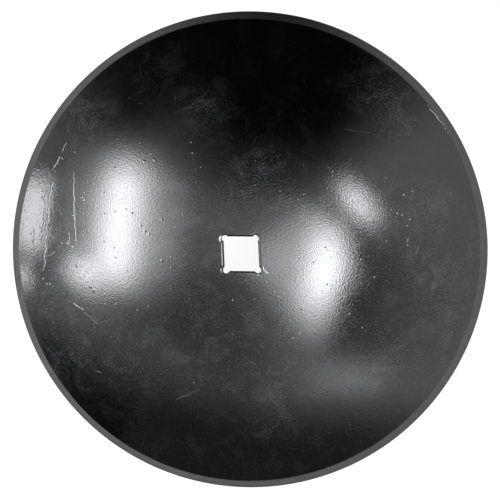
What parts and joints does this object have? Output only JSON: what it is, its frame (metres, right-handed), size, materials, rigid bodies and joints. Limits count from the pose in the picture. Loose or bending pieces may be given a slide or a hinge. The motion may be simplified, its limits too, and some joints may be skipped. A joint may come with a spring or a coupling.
{
  "type": "harrow disc blade",
  "caption": "Round steel plate pressed to a shallow dish, with a square axle hole at its centre and an outside bevel ground round its rim.",
  "frame": {"origin": "on the disc's axis, at the level of the circle that the rim stands on", "axes": "+Z along the disc's axis, from the hollow to the back; +X and +Y square to the sides of the axle hole"},
  "size_m": [0.5588, 0.5588, 0.0776],
  "materials": {
    "blade_paint": "thin glossy black paint over hot-pressed plate, with a slight ripple"
  },
  "bodies": {
    "root": {"disc_blade": "blade_paint"}
  },
  "joints": []
}
